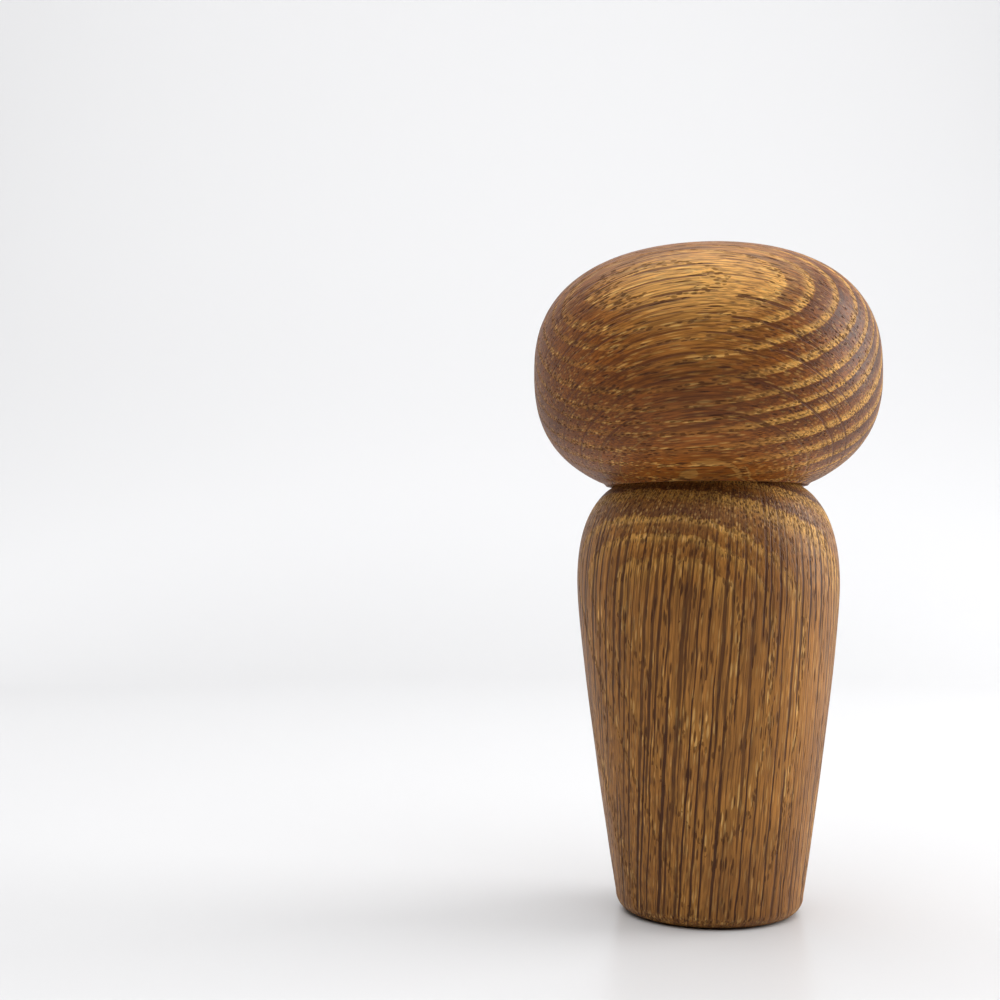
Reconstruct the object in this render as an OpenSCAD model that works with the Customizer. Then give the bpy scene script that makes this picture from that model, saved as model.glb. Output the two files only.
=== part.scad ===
// Kokeshi doll: a turned oak head on a turned oak body, joined by a loose peg with two rubber rings.
// +Z is up and the origin is the centre of the foot.

/* [Body] */
// Height of the body, from the foot to the flat top that the head rests on
body_h = 80; // [70:1:95]
// Greatest diameter of the body
body_d = 49.6; // [46:0.2:54]
// Height of the greatest diameter
shoulder_z = 61.8; // [58:0.2:64]
// Diameter of the foot, just above its rounded edge
foot_d = 35.2; // [32:0.2:40]
// Radius of the rounded edge of the foot
foot_round = 3.3; // [2:0.1:4]
// Diameter of the flat top of the body
neck_d = 36.6; // [34:0.2:38]

/* [Head] */
// Diameter of the head
head_d = 66; // [60:0.5:72]
// Height of the head if it were closed at the bottom, before the flat is cut
head_full_h = 48; // [46:0.5:50]
// Height of the flat underside above the bottom of that closed shape
head_flat_cut = 2.5; // [2:0.1:3]
// Squareness of the head's outline: 2 is an ellipse, and higher is squarer
head_square = 2.45; // [2.2:0.05:2.8]
// Depth of the turner's undercut in the middle of the head's underside
undercut = 0.6; // [0.3:0.1:1]

/* [Neck peg] */
// Diameter of the peg
peg_d = 10; // [8:0.5:12]
// Length of the peg
peg_l = 44; // [40:1:46]
// Chamfer at each end of the peg
peg_chamfer = 1; // [0.5:0.1:1.5]
// Play between the peg and its bore, on each side
bore_play = 0.3; // [0.2:0.05:0.5]
// Depth of each bore, in the body and in the head
bore_depth = 24; // [23:0.5:26]
// Distance of each rubber ring from the seam
ring_from_seam = 12; // [8:0.5:16]
// Thickness of the rubber rings
ring_thick = 1.5; // [1.2:0.1:1.8]

/* [Hidden] */

oak_brown = "#9a6a34";
beech_cream = "#d8b98c";
rubber_black = "#1e1e1e";

// how many straight steps draw each curved stretch of an outline
curve_steps = 32;
// number of facets asked of a round surface; the solids stay truly round
round_fn = 128;
// the same for the thin section of a rubber ring
ring_fn = 48;
// easing of the two sharp edges that meet at the seam
seam_ease = 0.5;
// countersink at the mouth of each bore
bore_mouth = 0.8;
// radial room between a ring and the bore, and between a ring and its groove
ring_room = 0.05;
// how far a cutting shape stands past the face that it cuts
past = 1;
// pull of the two control points of the side curve: the lower one outward and up, the upper one down
side_out = 0.65;
side_up = 0.52;
side_down = 0.11;
// pull of the two control points of the shoulder curve: the lower one up, the upper one outward and down
shoulder_up = 0.63;
shoulder_out = 0.15;
shoulder_down = 0.1;
// share of the neck's radius that the undercut takes, so that a ring of wood still bears on the body
undercut_share = 0.68;

seam_z = body_h;
body_r = body_d / 2;
foot_r = foot_d / 2;
neck_r = neck_d / 2;
head_r = head_d / 2;
head_half_h = head_full_h / 2;
head_mid_z = seam_z + head_half_h - head_flat_cut;
peg_r = peg_d / 2;
bore_r = peg_r + bore_play;
peg_z = seam_z - bore_depth;
ring_mid_r = bore_r - ring_room - ring_thick / 2;
groove_r = ring_mid_r - ring_thick / 2 - ring_room;
groove_w = ring_thick + 2 * ring_room;
undercut_r = undercut_share * neck_r;

// Point at share t of the cubic curve with these four control points
function curve_point(p, t) =
    pow(1 - t, 3) * p[0] + 3 * pow(1 - t, 2) * t * p[1]
    + 3 * (1 - t) * t * t * p[2] + t * t * t * p[3];
function curve(p) = [for (i = [1 : curve_steps]) curve_point(p, i / curve_steps)];

// Radius of the head at height dz above its middle, by the superellipse rule
function head_radius(dz) =
    head_r * pow(1 - pow(abs(dz) / head_half_h, head_square), 1 / head_square);
// Point of the head's outline at angle a, from the level of the middle (0) to the top (90)
function head_point(a) = [
    head_r * pow(cos(a), 2 / head_square),
    head_mid_z + sign(a) * head_half_h * pow(sin(abs(a)), 2 / head_square)
];
// Angle of the outline at the head's flat underside
head_flat_dz = head_flat_cut - head_half_h + seam_ease;
head_flat_a = -asin(pow(-head_flat_dz / head_half_h, head_square / 2));

// Outline of the foot's rounded edge, a quarter circle
foot_edge = [for (i = [0 : curve_steps / 2])
    let (a = 90 * i / (curve_steps / 2))
    [foot_r - foot_round + foot_round * sin(a), foot_round - foot_round * cos(a)]];
// The side swells gently from the foot to the greatest diameter
side_h = shoulder_z - foot_round;
body_side = curve([
    [foot_r, foot_round],
    [foot_r + side_out * (body_r - foot_r), foot_round + side_up * side_h],
    [body_r, shoulder_z - side_down * side_h],
    [body_r, shoulder_z]
]);
// The shoulder rolls over from the greatest diameter to the neck's eased edge
shoulder_h = seam_z - shoulder_z;
body_shoulder = curve([
    [body_r, shoulder_z],
    [body_r, shoulder_z + shoulder_up * shoulder_h],
    [neck_r + shoulder_out * shoulder_h, seam_z - seam_ease - shoulder_down * shoulder_h],
    [neck_r, seam_z - seam_ease]
]);

// Cuts a bore with a countersunk mouth, up from the seam (1) or down from it (-1)
module bore_from_seam(direction) {
    translate([0, 0, seam_z])
        mirror([0, 0, direction > 0 ? 0 : 1]) {
            translate([0, 0, -past])
                cylinder(h = bore_depth + past, r = bore_r, $fn = round_fn);
            translate([0, 0, -past])
                cylinder(h = past + bore_mouth, r1 = bore_r + bore_mouth + past, r2 = bore_r, $fn = round_fn);
        }
}

module body() {
    color(oak_brown)
        difference() {
            rotate_extrude($fn = round_fn)
                polygon(concat(
                    [[0, 0]], foot_edge, body_side, body_shoulder,
                    [[neck_r - seam_ease, seam_z], [0, seam_z]]
                ));
            bore_from_seam(-1);
        }
}

module head() {
    flat_r = head_radius(head_flat_dz);
    color(oak_brown)
        difference() {
            rotate_extrude($fn = round_fn)
                polygon(concat(
                    [[0, seam_z + undercut], [undercut_r - undercut, seam_z + undercut],
                     [undercut_r, seam_z], [flat_r - seam_ease, seam_z]],
                    [for (i = [0 : 2 * curve_steps])
                        head_point(head_flat_a + (90 - head_flat_a) * i / (2 * curve_steps))]
                ));
            bore_from_seam(1);
        }
}

module neck_peg() {
    color(beech_cream)
        difference() {
            translate([0, 0, peg_z])
                rotate_extrude($fn = round_fn)
                    polygon([
                        [0, 0], [peg_r - peg_chamfer, 0], [peg_r, peg_chamfer],
                        [peg_r, peg_l - peg_chamfer], [peg_r - peg_chamfer, peg_l], [0, peg_l]
                    ]);
            for (side = [-1, 1])
                translate([0, 0, seam_z + side * ring_from_seam - groove_w / 2])
                    rotate_extrude($fn = round_fn)
                        translate([groove_r, 0])
                            square([peg_r, groove_w]);
        }
}

module peg_ring(side) {
    color(rubber_black)
        translate([0, 0, seam_z + side * ring_from_seam])
            rotate_extrude($fn = round_fn)
                translate([ring_mid_r, 0])
                    circle(d = ring_thick, $fn = ring_fn);
}

body();
head();
neck_peg();
peg_ring(-1);  // peg_ring_lower
peg_ring(1);  // peg_ring_upper
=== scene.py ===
import math

import bpy
import numpy as np
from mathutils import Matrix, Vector, noise


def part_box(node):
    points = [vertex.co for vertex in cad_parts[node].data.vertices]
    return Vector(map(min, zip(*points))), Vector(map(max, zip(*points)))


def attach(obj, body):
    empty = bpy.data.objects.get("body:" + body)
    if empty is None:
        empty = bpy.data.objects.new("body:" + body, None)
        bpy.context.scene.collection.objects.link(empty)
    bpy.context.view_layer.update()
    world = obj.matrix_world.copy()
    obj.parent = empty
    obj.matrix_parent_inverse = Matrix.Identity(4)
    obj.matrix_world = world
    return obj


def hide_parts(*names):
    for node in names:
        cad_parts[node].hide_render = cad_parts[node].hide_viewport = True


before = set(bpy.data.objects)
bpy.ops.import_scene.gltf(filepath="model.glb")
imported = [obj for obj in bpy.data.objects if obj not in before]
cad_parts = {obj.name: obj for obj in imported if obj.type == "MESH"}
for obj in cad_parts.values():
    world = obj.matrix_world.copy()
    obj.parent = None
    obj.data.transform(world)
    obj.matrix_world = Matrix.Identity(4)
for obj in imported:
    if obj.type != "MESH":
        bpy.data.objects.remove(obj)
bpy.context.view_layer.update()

MM = 0.001
# glow of the backdrop, and how much more the floor's far edges glow
WALL_GLOW, EDGE_GLOW = 0.42, 0.44
# the room as it lights the doll, and as the camera sees it past the backdrop
ROOM_LIGHT, ROOM_SEEN = 0.04, 0.93
# the lamps, in watts
OVERHEAD, LEFT, RIGHT = 19.0, 0.6, 7.0
# a little more than the radius of the bores' mouths, in mm
BORE_RADIUS = 6.2
# spacing of the rows of vertices on the outside, in the bores and on the flats across the axis, in mm
ROW, BORE_ROW, FOOT_ROW, BORE_END_ROW = 0.42, 3.0, 0.6, 1.0
# vertices round the body and round the head, and the least distance between two of them, in mm
BODY_COLUMNS, HEAD_COLUMNS, LEAST_EDGE = 416, 512, 0.2

# ---------------------------------------------------------------- meshes of the turned pieces


def cad_outline(node):
    """Outline of a turned CAD node: rows of (radius, height) in mm, walked along its mesh from end to end."""
    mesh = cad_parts[node].data
    co = np.zeros(len(mesh.vertices) * 3)
    mesh.vertices.foreach_get("co", co)
    co = co.reshape(-1, 3) / MM
    flat = np.stack([np.hypot(co[:, 0], co[:, 1]), co[:, 2]], 1)
    keys, place = np.unique(np.round(flat / 0.02).astype(int), axis=0, return_inverse=True)
    place = place.ravel()
    points = np.array([flat[place == k].mean(0) for k in range(len(keys))])
    next_to = {k: set() for k in range(len(keys))}
    for edge in mesh.edges:
        a, b = (int(place[v]) for v in edge.vertices)
        if a != b:
            next_to[a].add(b)
            next_to[b].add(a)
    ends = [k for k, near in next_to.items() if len(near) == 1]
    start = min(ends, key=lambda k: (points[k][1] if node == "body" else -points[k][1]))
    walk, seen = [start], {start}
    while True:
        ahead = [k for k in next_to[walk[-1]] if k not in seen]
        if not ahead:
            break
        walk.append(ahead[0])
        seen.add(ahead[0])
    return points[walk]


def smooth_rows(outline, step, bore_step, bore_radius):
    """The outline again in even steps: a smooth curve through each stretch, with every sharp corner kept."""
    d = np.diff(outline, axis=0)
    heading = np.unwrap(np.arctan2(d[:, 1], d[:, 0]))
    corners = [0] + [i + 1 for i, turn in enumerate(np.abs(np.diff(heading))) if turn > math.radians(22)]
    corners.append(len(outline) - 1)
    rows = [outline[0]]
    for a, b in zip(corners, corners[1:]):
        p = outline[a : b + 1]
        along = np.concatenate([[0], np.cumsum(np.hypot(*np.diff(p, axis=0).T))])
        wanted = bore_step if p[:, 0].max() < bore_radius else step
        count = max(1, round(along[-1] / wanted))
        s = np.linspace(0, along[-1], count + 1)[1:]
        if len(p) < 4:
            rows += [np.array([np.interp(t, along, p[:, k]) for k in (0, 1)]) for t in s]
            continue
        slope = np.gradient(p, along, axis=0, edge_order=2)
        i = np.clip(np.searchsorted(along, s) - 1, 0, len(p) - 2)
        h = (along[i + 1] - along[i])[:, None]
        t = (s - along[i])[:, None] / h
        rows += list(
            (2 * t**3 - 3 * t**2 + 1) * p[i]
            + (t**3 - 2 * t**2 + t) * h * slope[i]
            + (3 * t**2 - 2 * t**3) * p[i + 1]
            + (t**3 - t**2) * h * slope[i + 1]
        )
    return np.array(rows)


def close_to_axis(row, step):
    """Rows from this one in to the turning axis, on one flat disc."""
    count = max(2, round(row[0] / step))
    return [np.array([row[0] * (1 - k / count), row[1]]) for k in range(1, count + 1)]


def ring_counts(rows, columns, least):
    """How many vertices each ring has: halved as the radius shrinks, so that the faces stay even in size."""
    counts = []
    for r, _ in rows:
        n = columns
        while n > 8 and 2 * math.pi * r / n < least:
            n //= 2
        counts.append(1 if r < 1e-4 else n)
    for order in (range(1, len(counts)), range(len(counts) - 2, -1, -1)):
        for i in order:
            near = counts[i - 1] if order.step == 1 else counts[i + 1]
            if near > 1 and counts[i] > 2 * near:
                counts[i] = 2 * near
    return counts


def ring_faces(start_a, a, start_b, b):
    """Faces between two neighbouring rings of a and b vertices."""
    if b == 1:
        return [(start_a + j, start_a + (j + 1) % a, start_b) for j in range(a)]
    if a == 1:
        return [(start_a, start_b + (j + 1) % b, start_b + j) for j in range(b)]
    if a == b:
        return [
            (start_a + j, start_a + (j + 1) % a, start_b + (j + 1) % a, start_b + j) for j in range(a)
        ]
    if a > b:
        faces = []
        for j in range(b):
            a0, a1, a2 = (start_a + (2 * j + k) % a for k in range(3))
            b0, b1 = start_b + j, start_b + (j + 1) % b
            faces += [(a0, a1, b0), (a1, b1, b0), (a1, a2, b1)]
        return faces
    return [face[::-1] for face in ring_faces(start_b, b, start_a, a)]


def turned_piece(name, rows, columns, least, facing):
    """A closed mesh of revolution from rows of (radius, height) in mm, with its points and its normals.
    facing is 1 where the rows run up the outside, and -1 where they run down it."""
    counts = ring_counts(rows, columns, least)
    d = np.gradient(rows, axis=0)
    d /= np.maximum(np.hypot(d[:, 0], d[:, 1])[:, None], 1e-9)
    points, normals, faces, starts, total = [], [], [], [], 0
    for (r, z), (dr, dz), n in zip(rows, d, counts):
        angle = np.arange(n) * 2 * math.pi / n
        c, s = np.cos(angle), np.sin(angle)
        points.append(np.stack([r * c, r * s, np.full(n, z)], 1))
        normals.append(facing * np.stack([dz * c, dz * s, np.full(n, -dr)], 1))
        starts.append(total)
        total += n
    for i in range(len(rows) - 1):
        faces += ring_faces(starts[i], counts[i], starts[i + 1], counts[i + 1])
    if facing < 0:
        faces = [face[::-1] for face in faces]
    points, normals = np.concatenate(points), np.concatenate(normals)
    mesh = bpy.data.meshes.new(name)
    mesh.from_pydata((points * MM).tolist(), [], faces)
    obj = bpy.data.objects.new(name, mesh)
    bpy.context.scene.collection.objects.link(obj)
    return obj, points, normals


# ---------------------------------------------------------------- the wood, as a solid


class Wood:
    """One blank of oak. origin is a point in it, along is the grain's direction, and outward points away from
    the pith, which is pith mm from the origin. first_ring is the radius of the first growth ring, and rings
    are the widths of the next ones, over and over, in mm. sway is how far the grain wanders, in mm, and swell
    how strongly the rings close in on the pith with distance along the grain from the origin, per mm."""

    def __init__(self, origin, along, outward, pith, seed, first_ring, rings, sway, swell):
        self.origin = np.array(origin, float)
        self.along = np.array(along, float) / np.linalg.norm(along)
        out = np.array(outward, float)
        out -= (out @ self.along) * self.along
        self.outward = out / np.linalg.norm(out)
        self.across = np.cross(self.along, self.outward)
        self.pith, self.seed, self.sway, self.swell = pith, seed, sway, swell
        repeated = np.tile(np.array(rings, float), 1 + int((pith + 60) / sum(rings)))
        self.edges = first_ring + np.concatenate([[0], np.cumsum(repeated)])

    def wander(self, p, size, stretch, salt):
        """Smooth noise from -1 to 1, size mm across the grain and stretch times longer along it."""
        q = np.stack([p @ self.outward, p @ self.across, p @ self.along / stretch], 1) / size
        q += self.seed * 7.3 + salt * 31.7
        return np.array([noise.noise(v) for v in q])

    def grain(self, points):
        """For each point, in mm: its distance from the pith, round the pith, and along the grain."""
        p = points - self.origin
        a, b, w = p @ self.outward, p @ self.across, p @ self.along
        a = a + self.swell * w * w / 2
        a = a + self.sway * self.wander(p, 24, 3, 1) + 0.2 * self.sway * self.wander(p, 5, 4, 2)
        b = b + self.sway * self.wander(p, 26, 3, 3) + 0.2 * self.sway * self.wander(p, 6, 5, 4)
        distance = np.hypot(a + self.pith, b)
        turn = np.arctan2(b, a + self.pith)
        return np.stack([distance, turn * (self.pith + 20), w], 1)

    def face(self, points, normals, grain):
        """For each point: how squarely the surface faces round the pith, how squarely it faces along the
        grain, and its age in growth rings."""
        p = points - self.origin
        from_pith = p - np.outer(p @ self.along, self.along) + self.pith * self.outward
        from_pith /= np.linalg.norm(from_pith, axis=1)[:, None]
        round_pith = np.cross(self.along, from_pith)
        years = np.interp(grain[:, 0], self.edges, np.arange(len(self.edges)))
        return np.stack([np.abs((normals * round_pith).sum(1)), np.abs(normals @ self.along), years], 1)


def store(obj, name, values):
    """Stores three numbers for each vertex, which the oak material reads."""
    attribute = obj.data.attributes.new(name, "FLOAT_VECTOR", "POINT")
    attribute.data.foreach_set("vector", values.astype(np.float32).ravel())


# ---------------------------------------------------------------- materials


class Socket:
    """An output of a node, with the sums that a formula needs."""

    def __init__(self, tree, output):
        self.tree, self.output = tree, output

    def _sum(self, operation, *values):
        node = self.tree.nodes.new("ShaderNodeMath")
        node.operation = operation
        for place, value in enumerate(values):
            put(self.tree, node.inputs[place], value)
        return Socket(self.tree, node.outputs[0])

    def __add__(self, other):
        return self._sum("ADD", self, other)

    def __radd__(self, other):
        return self._sum("ADD", other, self)

    def __sub__(self, other):
        return self._sum("SUBTRACT", self, other)

    def __rsub__(self, other):
        return self._sum("SUBTRACT", other, self)

    def __mul__(self, other):
        return self._sum("MULTIPLY", self, other)

    def __rmul__(self, other):
        return self._sum("MULTIPLY", other, self)

    def __truediv__(self, other):
        return self._sum("DIVIDE", self, other)

    def floor(self):
        return self._sum("FLOOR", self)

    def size(self):
        return self._sum("ABSOLUTE", self)

    def power(self, other):
        return self._sum("POWER", self, other)

    def above(self, other):
        return self._sum("GREATER_THAN", self, other)

    def most(self, other):
        return self._sum("MAXIMUM", self, other)


def put(tree, place, value):
    """Links a socket to an input, or sets the input to a number or colour."""
    if isinstance(value, Socket):
        tree.links.new(value.output, place)
    elif place.type == "RGBA" and len(value) == 3:
        place.default_value = (*value, 1)
    else:
        place.default_value = value


class Painter:
    """Makes one material. Its small methods each add one node and return what it gives."""

    def __init__(self, name):
        self.material = bpy.data.materials.new(name)
        self.material.use_nodes = True
        self.tree = self.material.node_tree
        self.shader = self.tree.nodes["Principled BSDF"]

    def node(self, kind, settings=None, **inputs):
        made = self.tree.nodes.new(kind)
        for key, value in (settings or {}).items():
            setattr(made, key, value)
        for key, value in inputs.items():
            put(self.tree, made.inputs[key.replace("_", " ")], value)
        return made

    def out(self, made, name):
        return Socket(self.tree, made.outputs[name])

    def stored(self, name):
        return self.out(self.node("ShaderNodeAttribute", {"attribute_name": name}), "Vector")

    def place(self):
        return self.out(self.node("ShaderNodeTexCoord"), "Object")

    def parts(self, vector):
        made = self.node("ShaderNodeSeparateXYZ", Vector=vector)
        return [self.out(made, name) for name in "XYZ"]

    def vector(self, x, y, z):
        return self.out(self.node("ShaderNodeCombineXYZ", X=x, Y=y, Z=z), "Vector")

    def noise(self, vector, scale=1.0, detail=2.0, roughness=0.5):
        made = self.node(
            "ShaderNodeTexNoise", Vector=vector, Scale=scale, Detail=detail, Roughness=roughness
        )
        return self.out(made, 0)

    def cells(self, vector, randomness=1.0):
        """Distance to the nearest cell point, that point, and three random numbers of its cell."""
        made = self.node("ShaderNodeTexVoronoi", Vector=vector, Scale=1.0, Randomness=randomness)
        return self.out(made, "Distance"), self.out(made, "Position"), self.parts(self.out(made, "Color"))

    def chance(self, value):
        """A random number from 0 to 1 for each whole value."""
        made = self.node("ShaderNodeTexWhiteNoise", {"noise_dimensions": "1D"}, W=value)
        return self.out(made, "Value")

    def ease(self, value, low, high):
        """0 where value is low, 1 where it is high, and smooth between. low may be the larger."""
        made = self.node("ShaderNodeMapRange", {"interpolation_type": "SMOOTHSTEP"}, Value=value)
        put(self.tree, made.inputs["From Min"], low)
        put(self.tree, made.inputs["From Max"], high)
        return self.out(made, 0)

    def mix(self, share, a, b, blend="MIX"):
        made = self.node("ShaderNodeMix", {"data_type": "RGBA", "blend_type": blend})
        put(self.tree, made.inputs["Factor"], share)
        put(self.tree, made.inputs[6], a)
        put(self.tree, made.inputs[7], b)
        return Socket(self.tree, made.outputs[2])

    def grey(self, value):
        return self.out(self.node("ShaderNodeCombineColor", Red=value, Green=value, Blue=value), "Color")

    def finish(self, colour, roughness, height, depth, **plain):
        """Connects the shader. depth is how far, in metres, a height of 1 stands."""
        put(self.tree, self.shader.inputs["Base Color"], colour)
        put(self.tree, self.shader.inputs["Roughness"], roughness)
        bump = self.node("ShaderNodeBump", Height=height, Distance=depth, Strength=1.0)
        self.tree.links.new(bump.outputs["Normal"], self.shader.inputs["Normal"])
        for key, value in plain.items():
            put(self.tree, self.shader.inputs[key.replace("_", " ")], value)
        return self.material


def srgb(*levels):
    """A colour given by its screen levels from 0 to 255, as the linear numbers that a shader takes."""
    return tuple(
        v / 255 / 12.92 if v / 255 <= 0.04045 else ((v / 255 + 0.055) / 1.055) ** 2.4 for v in levels
    )


def rays(p, across, along, growth, spacing, length, thick, salt, randomness):
    """Oak's rays: thin sheets of that thickness and length in mm, seen edge on as lines. It gives 1 inside a
    ray and 0 outside, and a random number for each ray."""
    across = across + (p.noise(p.vector(across / 3, along / 9, salt), detail=1.0) - 0.5) * 0.7
    grid = p.vector(across / spacing, along / length, growth / 70 + salt)
    _, centre, chance = p.cells(grid, randomness)
    x, y, _ = p.parts(centre)
    aside = (across / spacing - x).size() * spacing
    end = (along / length - y) * 2
    taper = (1 - end * end).most(0)
    half = thick / 2 * (0.45 + 0.75 * chance[0]) * taper.power(0.4)
    return p.ease(aside / half.most(0.001), 1.2, 0.75) * p.ease(taper, 0.0, 0.15), chance[1]


def oak(name, look):
    """Oiled oak as a solid: any surface cut through it shows the right face of its rings, pores and rays."""
    p = Painter(name)
    growth, across, along = p.parts(p.stored("grain"))
    tangential, endwise, years = p.parts(p.stored("face"))

    # the rings, with ragged edges
    fine = p.noise(p.vector(growth, across / 1.4, along / 9), 1 / 1.1, 2.0)
    rings = years + (fine - 0.5) * look["ragged"]
    number = rings.floor()
    share = rings - number
    richness = p.chance(number)
    early = p.ease(share, 0.0, 0.06) * p.ease(share, 0.40 + richness * 0.25, 0.15 + richness * 0.15)
    late = p.ease(share, 0.50, 0.95) * p.ease(share, 1.0, 0.97)
    # a row of pores stays narrow where the surface runs along its ring
    slope = (tangential * tangential + endwise * endwise).power(0.5)
    row = look["pore_row"] * (0.3 + 0.7 * p.ease(slope, 0.1, 0.6))
    crowd = p.ease(share, 0.0, row * 0.2) * p.ease(share, row * 1.3, row * 0.8)

    # fibres, and slow changes of tone
    fibre = p.noise(p.vector(growth / 0.32, across / 0.32, along / 9), detail=3.0, roughness=0.62)
    streak = p.noise(p.vector(growth / 1.6, across / 1.6, along / 34), detail=2.0)
    tone = p.noise(p.vector(growth / 15, across / 15, along / 45), detail=2.0)
    patch = p.noise(p.vector(growth / 4, across / 4, along / 12), detail=1.0)

    # spring pores crowd the start of each ring, longer ones lie anywhere, and small ones fill in
    round_far, _, chance = p.cells(p.vector(growth / 0.5, across / 0.5, along / look["row_pore_length"]))
    end_grain = p.ease(endwise, 0.12, 0.45)
    crowd = crowd * 0.85 + end_grain * look["end_pores"]
    row_pore = p.ease(round_far, 0.52, 0.30) * crowd.above(chance[0])
    long_far, _, chance = p.cells(p.vector(growth / 0.42, across / 0.42, along / look["pore_length"]))
    anywhere = look["pores_all_over"] * (0.4 + 1.2 * patch)
    long_pore = p.ease(long_far, 0.45, 0.25) * anywhere.above(chance[0])
    open_pore = (row_pore * (0.55 + 0.45 * patch)).most(long_pore)
    near, _, chance = p.cells(p.vector(growth / 0.30, across / 0.30, along / 3.0))
    small_pore = p.ease(near, 0.48, 0.25) * chance[0].above(0.70)
    # pale soft tissue shows as short dashes, most of all round the big pores
    dash_far, _, chance = p.cells(p.vector(growth / 0.46, across / 0.46, along / 3.4))
    dash = p.ease(dash_far, 0.55, 0.25) * chance[1].above(0.58)

    # broad rays, and narrow ones between them
    gap, length, thick = look["ray_gap"], look["ray_length"], look["ray_thick"]
    broad, broad_chance = rays(p, across, along, growth, gap, length, thick, 0.0, 0.75)
    narrow, _ = rays(p, across, along, growth, gap * 0.42, length * 0.4, 0.20, 9.0, 1.0)
    # a ray is dark edge on, and a pale fleck where the surface lies along it
    flat_on = p.ease(tangential, 0.80, 0.97)

    # each ring is pale where it starts and dark where it ends, most of all on end grain
    blotch = p.noise(p.vector(growth / 6, across / 6, along / 14), detail=3.0)
    band = (1 - flat_on * 0.5) * (0.35 + 0.65 * p.ease(endwise, 0.10, 0.55)) * look["band"]
    band = band * (1 - look["band_fade"] * p.ease(along, *look["fade_along"])) * (0.7 + 0.6 * blotch)
    flat_sawn = p.ease(slope, 0.67, 0.0)
    colour = p.mix(early * band, look["brown"], look["gold"])
    colour = p.mix(late * band * (0.35 + 0.6 * endwise), colour, look["dark"])
    # flat-sawn faces turn gold: partly the oak's own face, and partly painted light, since on the head these
    # faces look upwards, so this paints the top of the head lighter as an overhead lamp would
    colour = p.mix(flat_sawn * look["flat_face_gold_and_top_light"], colour, look["gold"])
    colour = p.mix(dash * (0.30 + 0.5 * early + look["end_pores"] * end_grain), colour, look["pale"])
    # darker patches, left off the gold flat-sawn faces, which is partly painted light on the head's top, and
    # the shading of single fibres
    gloom = 1 - flat_sawn * look["flat_face_gold_and_top_light"]
    colour = p.mix(p.ease(tone, 0.35, 0.75) * 0.45 * gloom, colour, look["dark"])
    colour = p.mix(p.ease(blotch, 0.55, 0.80) * look["blotch"] * gloom, colour, look["dark"])
    shade = 1 + look["fibre"] * (p.ease(fibre, 0.30, 0.68) - 0.48)
    shade = shade * (1 + look["streak"] * (streak - 0.5)) * (1 - endwise.power(2) * look["end_dark"])
    colour = p.mix(1.0, colour, p.grey(shade), "MULTIPLY")
    # pores and rays on top
    colour = p.mix(small_pore * 0.5, colour, look["pore"])
    colour = p.mix(narrow * 0.4 * (1 - flat_on), colour, look["ray"])
    strength = look["ray_depth"] * (0.7 + 0.3 * broad_chance) * (1 - end_grain * look["end_rays_fade"])
    colour = p.mix(broad * strength * (1 - flat_on), colour, look["ray"])
    colour = p.mix(broad * flat_on * fibre * 0.5, colour, look["pale"])
    colour = p.mix(open_pore * 0.8, colour, look["pore"])

    sunk = open_pore + small_pore * 0.35 + broad * 0.45 + narrow * 0.15 + early * 0.22
    height = 1.0 - sunk + fibre * 0.35
    roughness = 0.44 + open_pore * 0.3 + early * 0.08 + (fibre - 0.5) * 0.25
    return p.finish(colour, roughness, height, look["relief"] * MM, IOR=1.5, Specular_IOR_Level=0.2)


# ---------------------------------------------------------------- the pieces

# head_wood was fitted by a scratch program to growth rings traced on the photo, and then rounded: its origin,
# directions, pith, swell, first ring and last eight widths. body_wood began as such a fit, and was then
# changed.
body_wood = Wood(
    origin=(1.7, 0, 40), along=(0.065, -0.10, 1), outward=(0.05, -1, 0), pith=8.0,
    seed=1.0, first_ring=1.6, rings=(4.2, 4.0, 3.6, 1.2, 0.9, 1.1), sway=0.5, swell=0.0,
)
head_wood = Wood(
    origin=(5.8, 14.1, 114.5), along=(0.982, -0.190, 0.003), outward=(-0.127, -0.643, 0.755), pith=97.7,
    seed=3.0, first_ring=13.15,
    rings=(4.0, 4.5, 4.0, 3.65, 2.15, 1.95, 2.25, 2.38, 1.82, 1.25, 1.5), sway=0.3, swell=0.023,
)

# Colours, then shares from 0 to 1 or so, and lengths, gaps and thicknesses in mm. band is how strongly the
# rings show, and it fades by band_fade over fade_along, a stretch along the grain.
BODY_LOOK = {
    "brown": srgb(164, 110, 50),
    "gold": srgb(212, 158, 78),
    "dark": srgb(104, 62, 30),
    "pale": srgb(220, 170, 98),
    "pore": srgb(76, 44, 24),
    "ray": srgb(66, 34, 18),
    "band": 1.2,
    "band_fade": 0.8,
    "fade_along": (26, 12),
    "blotch": 0.3,
    "fibre": 0.65,
    "streak": 0.40,
    "flat_face_gold_and_top_light": 0.0,
    "pore_row": 0.40,
    "row_pore_length": 1.6,
    "ragged": 0.5,
    "pores_all_over": 0.18,
    "pore_length": 3.5,
    "ray_depth": 0.95,
    "ray_gap": 1.6,
    "ray_length": 60.0,
    "ray_thick": 0.62,
    "end_dark": 0.10,
    "end_pores": 0.40,
    "end_rays_fade": 0.55,
    "relief": 0.12,
}
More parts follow.
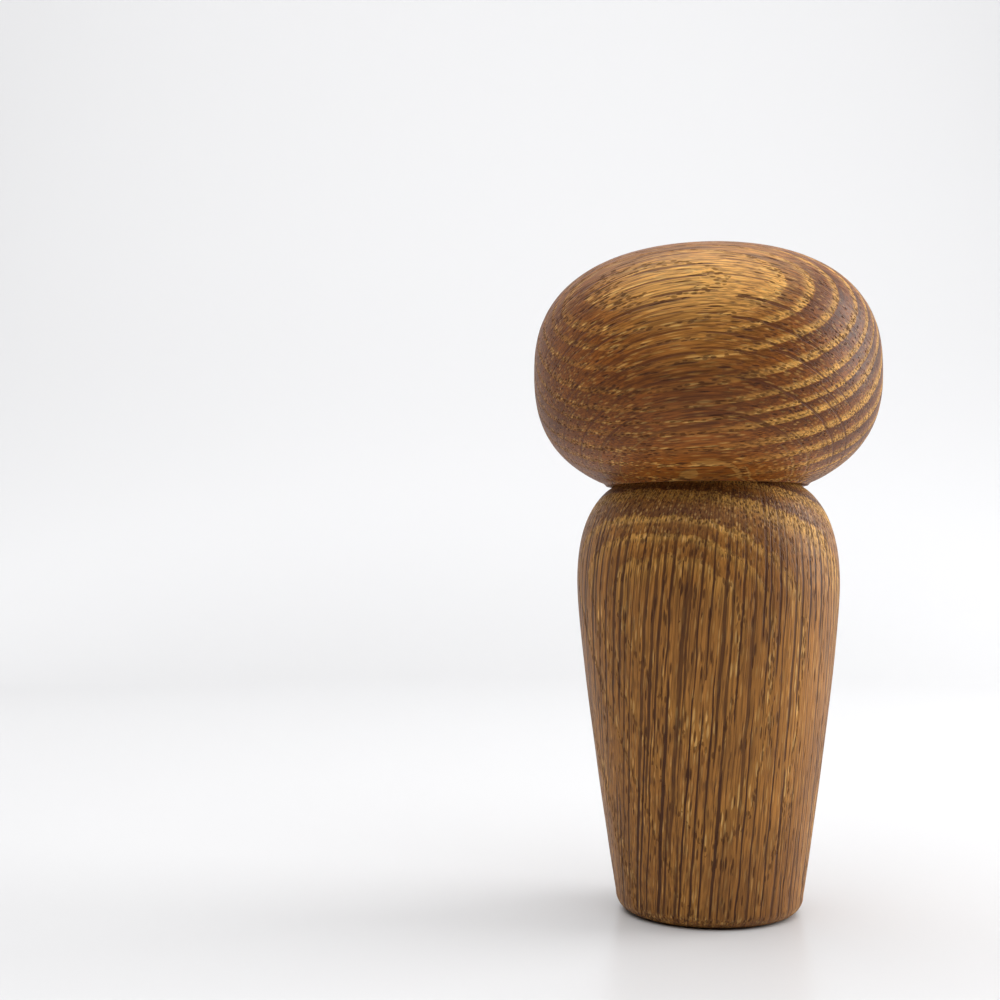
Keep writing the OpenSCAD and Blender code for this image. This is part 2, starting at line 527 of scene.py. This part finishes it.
HEAD_LOOK = {
    "brown": srgb(136, 78, 28),
    "gold": srgb(218, 160, 78),
    "dark": srgb(84, 42, 16),
    "pale": srgb(222, 172, 94),
    "pore": srgb(66, 34, 14),
    "ray": srgb(92, 48, 20),
    "band": 1.0,
    "band_fade": 0.75,
    "fade_along": (12, -16),
    "blotch": 0.6,
    "fibre": 0.90,
    "streak": 0.70,
    # gold on the flat-sawn faces: partly the wood's own colour, partly painted light on the top of the head
    "flat_face_gold_and_top_light": 0.95,
    "pore_row": 0.28,
    "row_pore_length": 1.3,
    "ragged": 0.16,
    "pores_all_over": 0.15,
    "pore_length": 7.0,
    "ray_depth": 0.85,
    "ray_gap": 3.2,
    "ray_length": 17.0,
    "ray_thick": 0.46,
    "end_dark": 0.20,
    "end_pores": 0.04,
    "end_rays_fade": 0.0,
    "relief": 0.12,
}


def relief(wood, points, normals, free):
    """The points a little below the turned outline, as hand sanding and raised grain leave them. free is 0
    for a point that stays where it is, and 1 for one that may move all the way."""
    sanded = 0.05 * (wood.wander(points, 13, 1, 5) - 1)
    raised = 0.018 * (wood.wander(points, 1.3, 12, 6) - 1)
    return points + normals * ((sanded + raised) * free)[:, None]


def make_body():
    """The tapered body with its flat top and the blind bore for the peg."""
    outline = cad_outline("body")
    rows = smooth_rows(outline, ROW, BORE_ROW, BORE_RADIUS)
    foot = close_to_axis(rows[0], FOOT_ROW)[::-1]
    rows = np.array(foot + list(rows) + close_to_axis(rows[-1], BORE_END_ROW))
    obj, points, normals = turned_piece("doll_body", rows, BODY_COLUMNS, LEAST_EDGE, 1)
    finish_wood(obj, "body", points, normals, body_wood, BODY_LOOK, "oak_body")


def make_head():
    """The broad rounded head with its flat, undercut and blind bore."""
    outline = cad_outline("head")
    rows = smooth_rows(outline, ROW, BORE_ROW, BORE_RADIUS)
    rows = np.array(list(rows) + close_to_axis(rows[-1], BORE_END_ROW))
    obj, points, normals = turned_piece("doll_head", rows, HEAD_COLUMNS, LEAST_EDGE, -1)
    finish_wood(obj, "head", points, normals, head_wood, HEAD_LOOK, "oak_head")


def finish_wood(obj, node, points, normals, wood, look, slot):
    """Relief, grain, material and place of one turned piece. Its node and its body share a name."""
    low, high = (v.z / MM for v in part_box(node))
    # no relief near the axis, at the seam or under the foot, so that the peg, head and table still fit
    seam = high if node == "body" else low
    outside = np.hypot(points[:, 0], points[:, 1]) > BORE_RADIUS
    clear = np.clip((np.abs(points[:, 2] - seam) - 0.7) / 2, 0, 1)
    standing = np.clip((points[:, 2] - low - 0.05) / 1.5, 0, 1) if node == "body" else 1
    shaped = relief(wood, points, normals, outside * clear * standing)
    obj.data.vertices.foreach_set("co", (shaped * MM).astype(np.float32).ravel())
    grain = wood.grain(shaped)
    store(obj, "grain", grain)
    store(obj, "face", wood.face(shaped, normals, grain))
    obj.data.shade_smooth()
    obj.data.set_sharp_from_angle(angle=math.radians(30))
    obj.data.materials.append(oak(slot, look))
    obj.data.update()
    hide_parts(node)
    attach(obj, node)


def beech(name):
    """Plain turned beech: pale, close-grained, with short dark flecks along the peg."""
    p = Painter(name)
    x, y, z = p.parts(p.place())
    x, y, z = x / MM, y / MM, z / MM
    fibre = p.noise(p.vector(x / 0.3, y / 0.3, z / 8), detail=3.0, roughness=0.6)
    tone = p.noise(p.vector(x / 3, y / 3, z / 25), detail=2.0)
    far, _, chance = p.cells(p.vector(x / 0.5, y / 0.5, z / 2.4))
    fleck = p.ease(far, 0.4, 0.2) * chance[0].above(0.5)
    colour = p.mix(tone, srgb(214, 176, 128), srgb(196, 152, 104))
    colour = p.mix(1.0, colour, p.grey(0.8 + 0.4 * fibre), "MULTIPLY")
    colour = p.mix(fleck * 0.6, colour, srgb(132, 88, 54))
    return p.finish(colour, 0.5 + (fibre - 0.5) * 0.3, fibre - fleck * 0.6, 0.04 * MM, IOR=1.5)


def rubber(name):
    """Black nitrile rubber, with a faint bloom and a fine moulded skin."""
    p = Painter(name)
    place = p.place()
    bloom = p.noise(place, 900.0, 3.0)
    skin = p.noise(place, 9000.0, 2.0)
    colour = p.mix(bloom, srgb(24, 24, 25), srgb(48, 47, 46))
    return p.finish(colour, 0.42 + bloom * 0.25, skin, 0.01 * MM, IOR=1.52)


def dress(node, material):
    """Gives a carried-over CAD node its material."""
    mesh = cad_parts[node].data
    mesh.materials.clear()
    mesh.materials.append(material)


# ---------------------------------------------------------------- studio


def sweep():
    """A white sweep: floor, curve and wall in one sheet. It glows more and more away from the doll, as a lit
    backdrop does, and the floor's far edges glow most, so that they meet the pale room."""
    near, far, radius, top, half = -1.2, 1.1, 0.6, 2.4, 2.4
    line = [(near, 0.0), (0.0, 0.0), (far - radius, 0.0)]
    steps = 24
    line += [
        (far - radius + radius * math.sin(a), radius - radius * math.cos(a))
        for a in (math.pi / 2 * k / steps for k in range(1, steps + 1))
    ]
    line.append((far, top))
    verts = [(x, y, z) for y, z in line for x in (-half, half)]
    faces = [(2 * i, 2 * i + 1, 2 * i + 3, 2 * i + 2) for i in range(len(line) - 1)]
    mesh = bpy.data.meshes.new("sweep")
    mesh.from_pydata(verts, [], faces)
    mesh.shade_smooth()
    obj = bpy.data.objects.new("sweep", mesh)
    bpy.context.scene.collection.objects.link(obj)
    p = Painter("sweep_white")
    x, y, height = p.parts(p.place())
    cloud = p.noise(p.place(), 3.0, 2.0)
    away = (x * x + y * y).power(0.5)
    wall = p.ease(away, 0.5, 0.9)
    edge = p.ease(away, 1.0, 2.0) * p.ease(height, 0.02, 0.0)
    colour = p.mix(cloud, srgb(209, 209, 210), srgb(212, 212, 213))
    colour = p.mix(wall, colour, srgb(180, 180, 182))
    put(p.tree, p.shader.inputs["Emission Color"], (1.0, 1.0, 1.0))
    put(p.tree, p.shader.inputs["Emission Strength"], wall * WALL_GLOW + edge * EDGE_GLOW)
    obj.data.materials.append(p.finish(colour, 0.30, cloud, 0.0, IOR=1.22))


def lamp(name, place, target, size, power):
    """One soft square lamp."""
    data = bpy.data.lights.new(name, "AREA")
    data.shape = "RECTANGLE"
    data.size, data.size_y = size
    data.energy = power
    obj = bpy.data.objects.new(name, data)
    obj.location = place
    obj.rotation_euler = (Vector(target) - Vector(place)).to_track_quat("-Z", "Y").to_euler()
    bpy.context.scene.collection.objects.link(obj)


def studio():
    """A dim room with a pale backdrop, a large soft lamp overhead and one at each side."""
    world = bpy.data.worlds.new("room")
    world.use_nodes = True
    tree = world.node_tree
    seen = tree.nodes.new("ShaderNodeLightPath")
    level = tree.nodes.new("ShaderNodeMapRange")
    level.inputs["To Min"].default_value = ROOM_LIGHT
    level.inputs["To Max"].default_value = ROOM_SEEN
    tree.links.new(seen.outputs["Is Camera Ray"], level.inputs["Value"])
    tree.links.new(level.outputs[0], tree.nodes["Background"].inputs["Strength"])
    tree.nodes["Background"].inputs["Color"].default_value = (1, 1, 1, 1)
    bpy.context.scene.world = world
    bpy.context.scene.view_settings.view_transform = "Standard"
    lamp("overhead", (0.0, -0.08, 1.0), (0, 0.02, 0.0), (1.6, 1.6), OVERHEAD)
    lamp("left", (-0.8, 0.20, 0.35), (0, 0, 0.06), (0.6, 0.6), LEFT)
    lamp("right", (0.8, 0.10, 0.35), (0, 0, 0.06), (0.6, 0.6), RIGHT)


def camera():
    """Level with the doll's shoulder, to the left of it and looking slightly up. Its lens, place and tilt are
    rounded from a scratch program's fit of the doll's outline to the photo."""
    data = bpy.data.cameras.new("camera")
    data.lens, data.sensor_width = 51.5, 36.0
    data.clip_start, data.clip_end = 0.01, 20.0
    obj = bpy.data.objects.new("camera", data)
    obj.location = (-0.0395, -0.2736, 0.0660)
    obj.rotation_euler = (math.radians(90 + 2.37), 0, 0)
    bpy.context.scene.collection.objects.link(obj)
    bpy.context.scene.camera = obj


camera()
studio()
sweep()
make_body()
make_head()
dress("neck_peg", beech("peg_beech"))
ring_rubber = rubber("ring_rubber")
for ring in ("peg_ring_lower", "peg_ring_upper"):
    dress(ring, ring_rubber)
